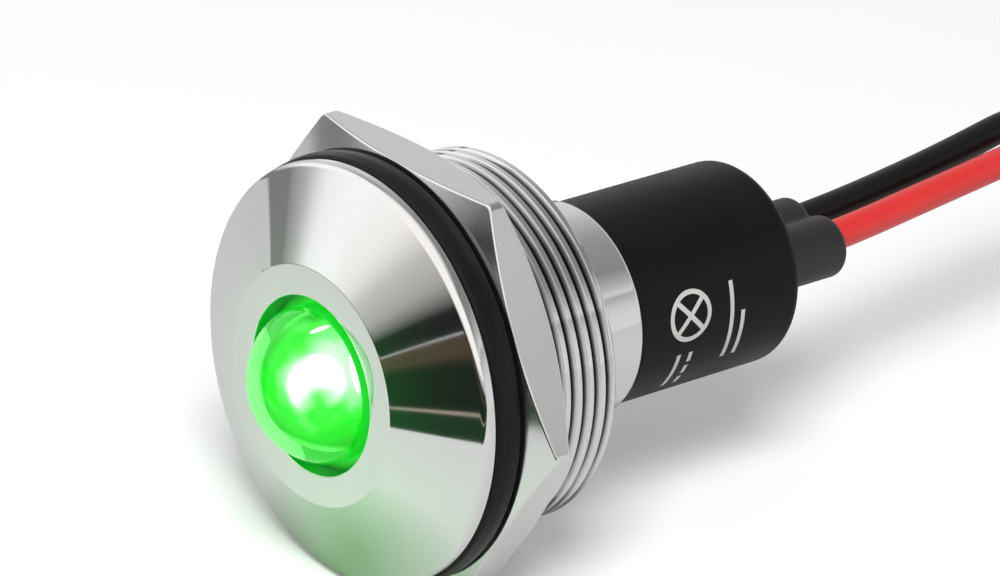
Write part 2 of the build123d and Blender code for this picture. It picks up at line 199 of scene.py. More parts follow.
def bump(tree, height, strength, distance, shader):
    b = tree.nodes.new("ShaderNodeBump")
    set_inputs(b, {"Height": height, "Strength": strength, "Distance": distance})
    set_inputs(shader, {"Normal": b.outputs["Normal"]})


def tint(tree, value, dark, light):
    """Mixes two colours, which may also be outputs, by a value."""
    mix = tree.nodes.new("ShaderNodeMix")
    mix.data_type = "RGBA"
    tree.links.new(value, mix.inputs[0])
    for socket, colour in ((mix.inputs[6], dark), (mix.inputs[7], light)):
        if isinstance(colour, tuple):
            socket.default_value = (*colour, 1)
        else:
            tree.links.new(colour, socket)
    return mix.outputs[2]


def separate(tree, vector):
    split = tree.nodes.new("ShaderNodeSeparateXYZ")
    tree.links.new(vector, split.inputs[0])
    return split.outputs


def combine(tree, x, y):
    both = tree.nodes.new("ShaderNodeCombineXYZ")
    set_inputs(both, {"X": x, "Y": y})
    return both.outputs[0]


def vector_math(tree, operation, vector, other=BLACK):
    m = tree.nodes.new("ShaderNodeVectorMath")
    m.operation = operation
    tree.links.new(vector, m.inputs[0])
    m.inputs[1].default_value = other
    return m.outputs


def axis_place(tree):
    """The distance from the lamp's axis and the station along it, in metres."""
    place = separate(tree, texture_space(tree))
    across = combine(tree, place["X"], place["Z"])
    return vector_math(tree, "LENGTH", across)["Value"], place["Y"]


# Bands of the housing in metres, from its axis or along it, which its shades follow
LIT_FACE = (0.0045, 0.0104)
HEAD_FRONT = (-0.0024, -0.0022)
GROOVE_FLOOR = (0.00918, 0.00947)
THREAD_START = (-0.0007, -0.0003)
BARREL = (0.0087, 0.0089)
HOLE_WALL = (0.0046, 0.00465)
HOLE_MOUTH = (-0.00428, -0.0042)


def housing_shades(tree, shader, clean):
    """Painted green glow on the face, painted shade in the thread's grooves, painted green shade in
    the hole.
    """
    radius, station = axis_place(tree)
    # Painted green glow: emission on the head's face round the lens.
    near = product(tree, fall(tree, radius, LIT_FACE), fall(tree, station, HEAD_FRONT))
    halo = tint(tree, product(tree, near, near), BLACK, (0.0005, 0.065, 0.008))
    set_inputs(shader, {"Emission Color": halo, "Emission Strength": 1.0})
    # Painted shade: the steel is darker towards the bottom of the thread's grooves.
    deep = fall(tree, radius, GROOVE_FLOOR, True)
    painted_groove_shade = product(tree, deep, rise(tree, station, THREAD_START))
    painted_groove_shade = product(tree, painted_groove_shade, rise(tree, radius, BARREL))
    # Painted shade with a painted green glow: the lens hole's wall is darker and green.
    painted_hole_shade = product(tree, fall(tree, radius, HOLE_WALL), rise(tree, station, HOLE_MOUTH))
    groove_shaded = tint(tree, painted_groove_shade, clean, (0.1, 0.098, 0.095))
    return tint(tree, painted_hole_shade, groove_shaded, (0.16, 0.42, 0.18))


def steel(name, colour, rough, ring_depth, housing=False):
    """Turned stainless steel: fine rings round the axis, with soft smears in its gloss."""
    material, tree, shader = node_material(name)
    rings = noise(tree, combine(tree, *axis_place(tree)), 7000, 2.0)
    smear = noise(tree, texture_space(tree), 240, 4.0)
    shade = tint(tree, smear, tuple(c * 0.965 for c in colour), colour)
    if housing:
        shade = housing_shades(tree, shader, shade)
    set_inputs(
        shader,
        {"Metallic": 0.99, "Roughness": spread(tree, smear, *rough), "Base Color": shade},
    )
    bump(tree, rings, 0.12, ring_depth, shader)
    return material


def moulded(name, dark, light, rough, grain, depth=0.00001, coat=0.0, shine=0.5):
    """Rubber, plastic or ink with a fine skin and soft wear in its colour and gloss."""
    material, tree, shader = node_material(name)
    space = texture_space(tree)
    patches = noise(tree, space, 220, 4.0)
    set_inputs(
        shader,
        {
            "Base Color": tint(tree, patches, dark, light),
            "Roughness": spread(tree, patches, *rough),
            "Specular IOR Level": shine,
            "Coat Weight": coat,
            "Coat Roughness": 0.25,
        },
    )
    bump(tree, noise(tree, space, grain, 2.0), 0.35, depth, shader)
    return material


def tinned(name, colour, rough, grain):
    """Bright tinned metal with a slightly uneven skin."""
    material, tree, shader = node_material(name)
    uneven = noise(tree, texture_space(tree), grain, 3.0)
    set_inputs(
        shader,
        {
            "Metallic": 1.0,
            "Roughness": spread(tree, uneven, *rough),
            "Base Color": tint(tree, uneven, tuple(c * 0.85 for c in colour), colour),
        },
    )
    bump(tree, uneven, 0.4, 0.00003, shader)
    return material


steel_polished = steel("turned_steel", (0.93, 0.93, 0.922), (0.035, 0.065), 0.000003, True)
steel_nut = steel("nut_steel", (0.9, 0.9, 0.895), (0.1, 0.17), 0.000006)
rubber_gasket = moulded("gasket_rubber", grey(0.005), grey(0.01), (0.3, 0.4), 9000, shine=0.16)
sleeve_skin = moulded(
    "sleeve_skin", grey(0.004), grey(0.008), (0.32, 0.42), 6000, 0.00002, shine=0.14
)
boot_skin = moulded("boot_skin", grey(0.012), grey(0.02), (0.36, 0.48), 7000)
plug_skin = moulded("plug_skin", grey(0.012), grey(0.024), (0.5, 0.62), 7000)
carrier_skin = moulded("carrier_skin", grey(0.016), grey(0.028), (0.45, 0.6), 7000)
red_skin = moulded(
    "red_insulation", (0.68, 0.024, 0.022), (0.76, 0.032, 0.029), (0.3, 0.4), 5000, coat=0.2
)
black_skin = moulded(
    "black_insulation", grey(0.004), grey(0.008), (0.3, 0.42), 5000, shine=0.2
)
tie_skin = moulded("tie_skin", grey(0.012), grey(0.025), (0.45, 0.6), 5000)
board_white = moulded(
    "led_board_mask", (0.78, 0.78, 0.75), (0.86, 0.86, 0.84), (0.3, 0.4), 6000, coat=0.3
)
board_green = moulded(
    "driver_board_mask",
    (0.02, 0.16, 0.05),
    (0.035, 0.24, 0.08),
    (0.25, 0.4),
    4000,
    0.00002,
    coat=0.4,
)
resistor_skin = moulded(
    "resistor_body", (0.015, 0.015, 0.018), (0.035, 0.035, 0.04), (0.35, 0.5), 6000
)
diode_skin = moulded(
    "diode_body", (0.09, 0.03, 0.012), (0.16, 0.05, 0.02), (0.12, 0.2), 3000, 0.000005, coat=0.5
)
print_ink = moulded("sleeve_print", (0.5, 0.49, 0.47), (0.62, 0.61, 0.59), (0.35, 0.5), 8000)
tinned_wire = tinned("tinned_copper", (0.82, 0.81, 0.77), (0.18, 0.3), 2600)
solder_skin = tinned("solder", grey(0.8), (0.12, 0.26), 1800)


def clear_plastic():
    """Clear cast plastic with a faint unevenness in its polish."""
    material, tree, shader = node_material("lens_clear")
    smear = noise(tree, texture_space(tree), 300, 3.0)
    set_inputs(
        shader,
        {
            "Base Color": (0.95, 1.0, 0.95, 1),
            "IOR": 1.49,
            "Transmission Weight": 1.0,
            "Specular IOR Level": 0.14,
            "Roughness": spread(tree, smear, 0.0, 0.015),
        },
    )
    return material


def glow_shell(name, dark, light, strength, thin=1.0, thick=1.0):
    """One layer of lit resin, with streaks in its colour and in how much it hides."""
    material, tree, shader = node_material(name)
    stretch = vector_math(tree, "MULTIPLY", texture_space(tree), (1.0, 0.35, 0.55))
    streaks = noise(tree, stretch[0], 520, 2.0, 0.45)
    set_inputs(
        shader,
        {
            "Emission Color": tint(tree, rise(tree, streaks, (0.5, 0.72), True), dark, light),
            "Emission Strength": strength,
            "Base Color": (0.02, 0.1, 0.02, 1),
            "Roughness": 0.5,
            "Specular IOR Level": 0.0,
        },
    )
    if thin < 1.0:
        set_inputs(shader, {"Alpha": spread(tree, streaks, thick, thin, 0.4, 0.7, True)})
    return material


def lit_resin():
    """Frosted green resin that blurs the light inside it, with paler streaks."""
    material, tree, shader = node_material("lit_resin")
    streaks = noise(tree, texture_space(tree), 340, 2.2, 0.5)
    pale = rise(tree, streaks, (0.4, 0.62), True)
    set_inputs(
        shader,
        {
            "Base Color": tint(tree, pale, (0.0016, 0.5, 0.0016), (0.2, 1.0, 0.22)),
            "Emission Color": tint(tree, pale, (0.0, 0.12, 0.0), (0.12, 0.55, 0.13)),
            "Emission Strength": 1.0,
            "Transmission Weight": 1.0,
            "IOR": 1.3,
            "Specular IOR Level": 0.1,
            "Roughness": spread(tree, streaks, 0.3, 0.4),
        },
    )
    return material


def lit_edge():
    """The lens's side and flange, which pipe green light, brightest next to the dome."""
    material, tree, shader = node_material("lit_edge")
    radius = axis_place(tree)[0]
    streaks = noise(tree, texture_space(tree), 700, 2.0)
    near = fall(tree, radius, (0.00395, 0.00475), True)
    near = product(tree, near, spread(tree, streaks, 0.75, 1.0))
    set_inputs(
        shader,
        {
            "Emission Color": tint(tree, near, (0.0, 0.05, 0.0), (0.01, 0.66, 0.02)),
            "Emission Strength": 1.0,
            "Base Color": (0.01, 0.12, 0.02, 1),
            "Roughness": 0.3,
        },
    )
    return material


GREEN = (0.0, 0.75, 0.02)
PALE_GREEN = (0.22, 1.0, 0.25)
WHITE_GLOW = (0.93, 1.0, 0.93)


def glowing(name, white_band, strength, patches, base):
    """A solid in the lamp's light: white round the axis, saturated green further out."""
    material, tree, shader = node_material(name)
    radius = axis_place(tree)[0]
    space = texture_space(tree)
    cloud = noise(tree, space, 650, 3.0, 0.6)
    warp = spread(tree, cloud, -0.0006, 0.0006, 0.25, 0.75)
    streaks = noise(tree, space, 420, 2.0, 0.5)
    patchy = spread(tree, streaks, 0.0, patches, 0.5, 0.75, True)
    white = fall(tree, arithmetic(tree, "ADD", radius, warp), white_band, True)
    set_inputs(
        shader,
        {
            "Emission Color": tint(
                tree, white, tint(tree, patchy, GREEN, PALE_GREEN), WHITE_GLOW
            ),
            "Emission Strength": strength,
            "Base Color": (*base, 1),
            "Roughness": spread(tree, cloud, 0.2, 0.3),
        },
    )
    return material


lens_clear = clear_plastic()
drop_glow = lit_resin()
outer_glow = glow_shell("outer_glow", (0.0, 0.5, 0.004), (0.1, 1.0, 0.12), 0.9, 0.15, 0.5)
halo_glow = glow_shell("halo_glow", (0.2, 1.0, 0.22), (0.55, 1.0, 0.57), 1.7, 0.4, 0.6)
heart_glow = glow_shell("heart_glow", (0.75, 1.0, 0.77), (0.95, 1.0, 0.95), 3.0, 0.5, 0.7)
core_glow = glow_shell("core_glow", (0.95, 1.0, 0.95), WHITE, 18.0)
# Painted highlight: the white glow of the strips under the lens dome.
painted_highlight_glow = glow_shell("painted_highlight_glow", (0.85, 1.0, 0.85), WHITE, 1.6)
edge_glow = lit_edge()
cup_glow = glowing("cup_glow", (0.0001, 0.0003), 0.4, 0.4, (0.82, 0.86, 0.8))
package_glow = glowing("package_glow", (0.0006, 0.0016), 0.9, 0.2, (0.9, 0.88, 0.82))
chip_glow = glowing("chip_glow", (0.0012, 0.002), 1.0, 0.1, (0.3, 0.8, 0.35))


# Turned pieces: a closed outline of (radius, station, round) corners, spun round the axis
SUPPORT = 0.05


def rounded_outline(corners, steps=4):
    """Rounds each corner and adds a point near both ends of each run, so flats stay flat."""
    count = len(corners)
    points = []
    for i, (x, y, size) in enumerate(corners):
        here = Vector((x, y))
        before = Vector(corners[i - 1][:2])
        after = Vector(corners[(i + 1) % count][:2])
        to_before = before - here
        to_after = after - here
        room_before = to_before.length
        room_after = to_after.length
        to_before.normalize()
        to_after.normalize()
        half = to_before.angle(to_after) / 2
        reach = min(size / math.tan(half), 0.4 * room_before, 0.4 * room_after)
        radius = reach * math.tan(half)
        pad_before = min(SUPPORT, 0.1 * room_before)
        pad_after = min(SUPPORT, 0.1 * room_after)
        points.append(here + to_before * (reach + pad_before))
        middle = here + (to_before + to_after).normalized() * (radius / math.sin(half))
        first = here + to_before * reach - middle
        last = here + to_after * reach - middle
        turn = first.angle_signed(last)
        for k in range(steps + 1):
            spun = first.copy()
            spun.rotate(Matrix.Rotation(-turn * k / steps, 2))
            points.append(middle + spun)
        points.append(here + to_after * (reach + pad_after))
    return points


def arc(centre_y, radius, start, end, steps):
    """Outline corners on a circle round a centre on the axis; angles from -Y, in degrees."""
    spots = []
    for k in range(steps + 1):
        a = math.radians(start + (end - start) * k / steps)
        spots.append((radius * math.sin(a), centre_y - radius * math.cos(a)))
    return spots


def at_angle(radius, station, angle):
    """A point in metres, from a radius and a station in millimetres."""
    return (radius * math.cos(angle) * MM, station * MM, radius * math.sin(angle) * MM)


def finish_mesh(name, mesh_work, material, sharp=35.0):
    """A smooth object from a bmesh, with sharp edges where its faces meet steeply."""
    bmesh.ops.remove_doubles(mesh_work, verts=mesh_work.verts, dist=2e-7)
    bmesh.ops.recalc_face_normals(mesh_work, faces=mesh_work.faces)
    mesh = bpy.data.meshes.new(name)
    mesh_work.to_mesh(mesh)
    mesh_work.free()
    mesh.polygons.foreach_set("use_smooth", [True] * len(mesh.polygons))
    mesh.set_sharp_from_angle(angle=math.radians(sharp))
    mesh.materials.append(material)
    return bpy.data.objects.new(name, mesh)


def spin(name, outline_at, angles, material, closed=True, body="lamp"):
    """Spins an outline, which may change with the angle, round the lamp's axis."""
    work = bmesh.new()
    columns = []
    for a in angles:
        columns.append([work.verts.new(at_angle(r, y, a)) for r, y in outline_at(a)])
    rows = len(columns[0])
    last_row = rows if closed else rows - 1
    for i in range(len(columns)):
        here = columns[i]
        there = columns[(i + 1) % len(columns)]
        for j in range(last_row):
            k = (j + 1) % rows
            work.faces.new((here[j], here[k], there[k], there[j]))
    return link(finish_mesh(name, work, material), body)


def full_turn(count):
    return [2 * math.pi * i / count for i in range(count)]


def turned(name, corners, material, count=240, steps=4):
    outline = rounded_outline(corners, steps)
    return spin(name, lambda a: outline, full_turn(count), material)


# Housing: the thread is a right-hand helix, so its rows climb by one pitch in each turn
def groove(phase):
    """Depth of the thread below its crests, for a place within one pitch."""
    away = abs((phase + 0.5) % 1.0 - 0.5) * PITCH
    half = GROOVE_WIDTH / 2
    if away >= half:
        return 0.0
    return GROOVE_DEPTH * min(1.0, (half - away) / (half - GROOVE_FLAT / 2))


def thread_radius(y, a):
    run_in = min(1.0, max(0.0, (y - RUN_OUT_Y) / RUN_OUT_LENGTH))
    phase = (y - GROOVE_Y) / PITCH + (a - GROOVE_ANGLE) / (2 * math.pi)
    chamfer = max(0.0, y - (BARREL_END - BARREL_CHAMFER))
    return CREST_R - max(groove(phase) * run_in, chamfer)


# Stations of the thread's rows within one pitch, closer together at the edges of the groove
PITCH_STEPS = (
    (0.0, 0.05, 0.12, 0.2, 0.27, 0.3, 0.314, 0.36)
    + (0.5, 0.64, 0.686, 0.7, 0.73, 0.8, 0.88, 0.95)
)
THREAD_TURNS = 13
HOUSING_COLUMNS = 240


def housing_mesh():
    """The housing, in columns of rows that climb by one pitch in a turn on the thread."""
    front = rounded_outline(
        [
            (CREST_R, HEAD_REAR, 0.02),
            (HEAD_R, HEAD_REAR, 0.12),
            (HEAD_R, RIM_FRONT, 0.5),
            (FACE_R, FACE_Y, 0.06),
            (HOLE_R, FACE_Y, 0.07),
            (HOLE_R, LIP_Y, 0.04),
            (BORE_R, LIP_Y, 0.02),
            (BORE_R, TAIL_END, 0.05),
            (TAIL_END_R, TAIL_END, 0.35),
            (TAIL_START_R, BARREL_END, 0.03),
            (BARREL_END_R, BARREL_END, 0.01),
        ],
        5,
    )[2:-1]
    work = bmesh.new()
    columns = []
    thread_start = GROOVE_Y + PITCH * GROOVE_ANGLE / (2 * math.pi) - THREAD_TURNS * PITCH
    for i in range(HOUSING_COLUMNS):
        share = i / HOUSING_COLUMNS
        a = -2 * math.pi * share
        column = [work.verts.new(at_angle(r, y, a)) for r, y in front]
        for turn in range(THREAD_TURNS + 2, -2, -1):
            for step in reversed(PITCH_STEPS):
                y = thread_start + (turn + step + share) * PITCH
                y = min(max(y, HEAD_REAR), BARREL_END)
                column.append(work.verts.new(at_angle(thread_radius(y, a), y, a)))
        columns.append(column)
    fixed = len(front)
    rows = len(columns[0])
    # After a whole turn the thread's rows join those of one turn further on
    first = columns[0]
    joined = [first[max(row - len(PITCH_STEPS), fixed)] for row in range(fixed, rows)]
    columns.append(first[:fixed] + joined)
    for here, there in zip(columns, columns[1:]):
        for j in range(rows):
            k = (j + 1) % rows
            corners = list(dict.fromkeys((here[j], here[k], there[k], there[j])))
            if len(corners) >= 3:
                work.faces.new(corners)
    return link(finish_mesh("housing", work, steel_polished, 30.0))


housing = housing_mesh()
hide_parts("bezel_housing")


# Nut: a rounded hexagon whose faces fall away at the corners
HALF_SIDE = math.radians(30)


def hexagon_radius(a):
    """Distance of the nut's side from its axis, with rounded corners."""
    off = (a - HALF_SIDE) % (2 * HALF_SIDE)
    off = min(off, 2 * HALF_SIDE - off)
    inset = FLAT_DISTANCE - NUT_CORNER_ROUND
    if off <= math.atan(inset * math.tan(HALF_SIDE) / FLAT_DISTANCE):
        return FLAT_DISTANCE / math.cos(off)
    centre = inset / math.cos(HALF_SIDE)
    delta = HALF_SIDE - off
    return centre * math.cos(delta) + math.sqrt(
        max(0.0, NUT_CORNER_ROUND**2 - (centre * math.sin(delta)) ** 2)
    )


FALL_FRONT = 0.64
FALL_REAR = 0.95
MOUTH_CHAMFER = 0.25


def nut_outline(a):
    """The nut's section at an angle, with faces turned down towards the corners."""
    reach = hexagon_radius(a)
    fall_share = (reach - NUT_FACE_R) / (FLAT_DISTANCE / math.cos(HALF_SIDE) - NUT_FACE_R)
    return rounded_outline(
        [
            (NUT_BORE_R, NUT_FRONT + MOUTH_CHAMFER, 0.03),
            (NUT_MOUTH_R, NUT_FRONT, 0.03),
            (NUT_FACE_R, NUT_FRONT, 0.08),
            (reach, NUT_FRONT + FALL_FRONT * fall_share, 0.12),
            (reach, NUT_REAR - FALL_REAR * fall_share, 0.12),
            (NUT_FACE_R, NUT_REAR, 0.08),
            (NUT_MOUTH_R, NUT_REAR, 0.03),
            (NUT_BORE_R, NUT_REAR - MOUTH_CHAMFER, 0.03),
        ]
    )


nut_angles = []
for side in range(6):
    corner = math.radians(60 * side)
    nut_angles.extend(corner + math.radians(1.15 * k / 6) for k in range(-6, 7))
    nut_angles.extend(corner + math.radians(d) for d in (1.6, 2.4, *range(4, 57, 2), 57.6, 58.4))
nut = spin("nut", nut_outline, nut_angles, steel_nut, body="nut")
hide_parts("hex_nut")

GASKET_BORE_R = CREST_R + 0.06
GASKET_EDGE_R = GASKET_R - 0.09
gasket = turned(
    "gasket",
    [
        (GASKET_BORE_R, HEAD_REAR, 0.03),
        (GASKET_EDGE_R, HEAD_REAR, 0.25),
        (GASKET_R, HEAD_REAR / 2, 1.4),
        (GASKET_EDGE_R, 0.0, 0.25),
        (GASKET_BORE_R, 0.0, 0.03),
    ],
    rubber_gasket,
)
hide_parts("panel_gasket")

sleeve = turned(
    "sleeve",
    [
        (SLEEVE_R - SLEEVE_WALL, SLEEVE_START, 0.05),
        (SLEEVE_R, SLEEVE_START, 0.1),
        (SLEEVE_R, SLEEVE_END, 0.7),
        (SLEEVE_HOLE_R, SLEEVE_END, 0.06),
        (SLEEVE_HOLE_R, SLEEVE_END - SLEEVE_WALL, 0.04),
        (SLEEVE_R - SLEEVE_WALL, SLEEVE_END - SLEEVE_WALL, 0.35),
    ],
    sleeve_skin,
    200,
    7,
)
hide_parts("heat_shrink_sleeve")

# Lens: clear dome with a flange, and the lit drop in it, in layers from green to white
LENS_R = 3.95
FLANGE_R = 4.93
FLANGE_FRONT = -2.81
LENS_REAR = -2.01
EDGE_CUT = 0.03
DOME_R = 4.162
DOME_CENTRE = -2.998

dome_end = math.degrees(math.asin(LENS_R / DOME_R)) - 2.0
lens_outline = arc(DOME_CENTRE, DOME_R, 0, dome_end, 40)
lens_outline += [
    (LENS_R, FACE_Y + 0.06),
    (LENS_R, FLANGE_FRONT - 0.05),
    (LENS_R + 0.02, FLANGE_FRONT),
    (FLANGE_R - EDGE_CUT, FLANGE_FRONT),
    (FLANGE_R, FLANGE_FRONT + EDGE_CUT),
    (FLANGE_R, LENS_REAR - EDGE_CUT),
    (FLANGE_R - EDGE_CUT, LENS_REAR),
    (0.0, LENS_REAR),
]
lens = spin("lens_dome", lambda a: lens_outline, full_turn(160), lens_clear, closed=False)
lens.data.materials.append(edge_glow)
for polygon in lens.data.polygons:
    place = polygon.center
    on_side = math.hypot(place.x, place.z) > (LENS_R - 0.02) * MM
    if on_side and place.y > (FACE_Y + 0.1) * MM:
        polygon.material_index = 1
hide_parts("lens")

for name, centre, radius, skin in (
    ("lit_drop", -2.95, 2.35, drop_glow),
    ("lit_outer", -3.1, 2.0, outer_glow),
    ("lit_halo", -3.3, 1.65, halo_glow),
    ("lit_heart", -3.5, 1.25, heart_glow),
    ("lit_core", -3.6, 0.85, core_glow),
):
    drop_outline = arc(centre, radius, 0, 180, 48)
    drop = spin(name, lambda a: drop_outline, full_turn(96), skin, closed=False)
    if name == "lit_drop":
        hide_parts("led_drop")


GLEAM_DEPTH = 0.04
GLEAM_REACH = LENS_R - 0.06
GLEAM_STEPS = 12


def painted_highlight(name, spots, width):
    """A painted highlight: a glowing strip under the dome through (X, Y, Z) places, pointed at both
    ends.
    """
    work = bmesh.new()
    centre = Vector((0, DOME_CENTRE, 0))
    first, middle, last = (Vector(spot) - centre for spot in spots)
    rows = []
    for k in range(GLEAM_STEPS + 1):
        t = k / GLEAM_STEPS
        spot = (1 - t) * (1 - 2 * t) * first + 4 * t * (1 - t) * middle + t * (2 * t - 1) * last
        sideways = (last - first).cross(spot).normalized()
        half = width / 2 * math.sin(math.pi * t) ** 0.6
        row = []
        for share in (-1, -0.5, 0, 0.5, 1):
            outward = (spot + sideways * half * share).normalized()
            place = outward * (DOME_R - GLEAM_DEPTH) + centre
            inward = min(1, GLEAM_REACH / math.hypot(place.x, place.z))
            inside = Vector((place.x * inward, place.y, place.z * inward))
            row.append(work.verts.new(inside * MM))
        rows.append(row)
    for before, after in zip(rows, rows[1:]):
        for k in range(len(before) - 1):
            work.faces.new((before[k], before[k + 1], after[k + 1], after[k]))
    painted_highlight_strip = link(finish_mesh(name, work, painted_highlight_glow))


# Painted highlights on the dome's side and top.
painted_highlight("painted_highlight_side", ((2.63, -4.12, 3.02), (3.29, -4.27, 2.21), (3.77, -4.33, 1.14)), 0.56)
painted_highlight("painted_highlight_top", ((0.74, -5.24, 3.43), (0.96, -4.81, 3.62), (1.18, -4.26, 3.79)), 0.26)


# Print on the sleeve: a lamp symbol and a direct-current symbol, drawn as flat strokes
MARK_WIDTH = 0.26
INK_HEIGHT = 0.012


def stroke(work, path, closed=False):
    """A ribbon along (round, along) points in millimetres, laid on the sleeve."""
    count = len(path)
    left = []
    opposite = []
    for i, spot in enumerate(path):
        here = Vector(spot)
        before = Vector(path[i - 1]) if closed or i > 0 else here
        after = Vector(path[(i + 1) % count]) if closed or i < count - 1 else here
        way = (after - before).normalized()
        half = Vector((-way.y, way.x)) * MARK_WIDTH / 2
        for edge, offset in ((left, half), (opposite, -half)):
            around, y = here + offset
            spot = at_angle(SLEEVE_R + INK_HEIGHT, y, around / SLEEVE_R)
            edge.append(work.verts.new(spot))
    for i in range(count if closed else count - 1):
        k = (i + 1) % count
        work.faces.new((left[i], left[k], opposite[k], opposite[i]))


def straight(start, end, pieces=8):
    a = Vector(start)
    b = Vector(end)
    return [tuple(a.lerp(b, k / pieces)) for k in range(pieces + 1)]


LAMP_MARK = Vector((0.9, 15.9))
LAMP_MARK_R = 1.25
DASH = 0.62
DASH_STEP = 0.88


def print_marks():
    """A crossed ring, a line over three dashes, and two bars."""
    work = bmesh.new()
    ring = []
    for k in range(64):
        a = 2 * math.pi * k / 64
        ring.append(LAMP_MARK + LAMP_MARK_R * Vector((math.cos(a), math.sin(a))))
    stroke(work, ring, True)
    reach = LAMP_MARK_R * math.sqrt(0.5)
    for sign in (1, -1):
        diagonal = Vector((reach, sign * reach))
        stroke(work, straight(LAMP_MARK - diagonal, LAMP_MARK + diagonal))
    stroke(work, straight((-3.6, 15.4), (-1.2, 15.4)))
    for k in range(3):
        start = -3.6 + DASH_STEP * k
        stroke(work, straight((start, 16.2), (start + DASH, 16.2)))
    stroke(work, straight((-2.3, 18.7), (2.1, 18.7), 14))
    stroke(work, straight((-2.3, 19.45), (0.4, 19.45), 10))
    mesh = bpy.data.meshes.new("sleeve_marks")
    work.to_mesh(mesh)
    work.free()
    mesh.materials.append(print_ink)
    return bpy.data.objects.new("sleeve_marks", mesh)


marks = link(print_marks())

# The two leads: the routes of the part's source, with points that follow the photograph
YAW = math.radians(6.5)
HEADING = Vector((-math.sin(YAW), math.cos(YAW), 0))
INWARD = Vector((HEADING.y, -HEADING.x, 0))
OUTER_TURN = 9.3
INNER_TURN = OUTER_TURN - 2 * WIRE_R
RED_Z = -9.775
BLACK_Z = -8.075


def along(point, distance, z):
    p = Vector(point) + distance * HEADING
    return Vector((p.x, p.y, z))


red_bend = (WIRE_X, WIRE_BEND_START, 0.0)
black_bend = (-WIRE_X, WIRE_BEND_START, 0.0)
red_route = [
    Vector((WIRE_X, WIRE_START, 0)),
    Vector(red_bend),
    along(red_bend, 13.5, 0.44),
    along(red_bend, 24.5, 0.8),
    along(red_bend, 34.4, -10.155),
    along(red_bend, 46.0, RED_Z),
]
black_route = [
    Vector((-WIRE_X, WIRE_START, 0)),
    Vector(black_bend),
    along(black_bend, 13.0, 0.2),
    along(black_bend, 25.5, 1.5),
    along(red_bend, 37.0, BLACK_Z),
    along(red_bend, 46.0, BLACK_Z),
]
coil_centre = red_route[-1] + OUTER_TURN * INWARD
TURN_STEPS = 14


def coil_points(z):
    """Two turns, side by side, from the outer one to the inner one."""
    points = []
    start = math.atan2(-INWARD.y, -INWARD.x)
    for i in range(2, 2 * TURN_STEPS + 1):
        share = i / (2 * TURN_STEPS)
        r = (OUTER_TURN - 2 * WIRE_R * share) / math.cos(math.pi / TURN_STEPS) ** 0.5
        a = start - 2 * math.pi * i / TURN_STEPS
        points.append(
            Vector((coil_centre.x + r * math.cos(a), coil_centre.y + r * math.sin(a), z))
        )
    return points


STUB_ANGLE = math.radians(52.0)
STUB_MIDDLE = 2.6
STUB_END = 4.2
stub_way = math.cos(STUB_ANGLE) * HEADING + math.sin(STUB_ANGLE) * INWARD
stub_start = coil_centre - INNER_TURN * INWARD


def stub_points(z):
    """The last straight stretch, which leaves the inner turn."""
    spots = (stub_start + distance * stub_way for distance in (STUB_MIDDLE, STUB_END))
    return [Vector((spot.x, spot.y, z)) for spot in spots]


def cord_curve(name, points, material):
    curve = bpy.data.curves.new(name, "CURVE")
    curve.dimensions = "3D"
    curve.bevel_depth = WIRE_R * MM
    curve.bevel_resolution = 6
    curve.resolution_u = 12
    curve.use_fill_caps = True
    spline = curve.splines.new("NURBS")
    spline.points.add(len(points) - 1)
    for point, spot in zip(spline.points, points):
        point.co = (*(spot * MM), 1.0)
    spline.order_u = 3
    spline.use_endpoint_u = True
    curve.materials.append(material)
    return link(bpy.data.objects.new(name, curve))


for colour, route, z, skin, length, ties in (
    ("red", red_route, RED_Z, red_skin, 0.17, ["coil_tie"]),
    ("black", black_route, BLACK_Z, black_skin, 0.169, []),
):
    piece = cord_curve(f"{colour}_lead", route + coil_points(z) + stub_points(z), skin)
    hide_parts(f"{colour}_wire", f"{colour}_coil")


# Floor: its places are in metres, and each band is one that a shade fades across
FOOT = (0.001, -0.003, FLOOR * MM)
FOOT_SHADE = (0.001, 0.0095)
HAZE = (0.09, 0.3)
FRONT_EDGE = (-0.0304, -0.0299)
FRONT_FROM = (-0.107, -0.105)
LEFT_EDGE = (-0.19, -0.17)
LEFT_LIGHT = (-0.11, -0.06)
FAR_WARMTH = (-0.25, -0.12)
STRIP_NEAR = (-0.045, -0.0445)
STRIP_FAR = (-0.048, -0.0472)
CLOSE_GREEN = (-0.047, -0.044)
LIFT = 0.2


def emission(tree, colour, strength=1.0):
    light = tree.nodes.new("ShaderNodeEmission")
    set_inputs(light, {"Color": colour, "Strength": strength})
    return light.outputs[0]


def dark_before_lamp(tree, place):
    """Where the room before and left of the lamp is dark, and with which shades."""
    x, y = place["X"], place["Y"]
    front = product(tree, fall(tree, y, FRONT_EDGE), rise(tree, x, FRONT_FROM))
    beyond = larger(tree, front, fall(tree, x, LEFT_EDGE))
    strip = product(tree, fall(tree, y, STRIP_NEAR), rise(tree, y, STRIP_FAR))
    # Painted green glow: nearer the lamp the dark floor shows greener in reflections.
    shade = tint(tree, rise(tree, y, CLOSE_GREEN), (0.002, 0.01, 0.003), (0.004, 0.028, 0.008))
    shade = tint(tree, fall(tree, y, FAR_WARMTH, True), shade, (0.065, 0.046, 0.027))
    shade = tint(tree, strip, shade, (0.36, 0.31, 0.25))
    return beyond, tint(tree, fall(tree, x, LEFT_LIGHT), shade, grey(0.2))


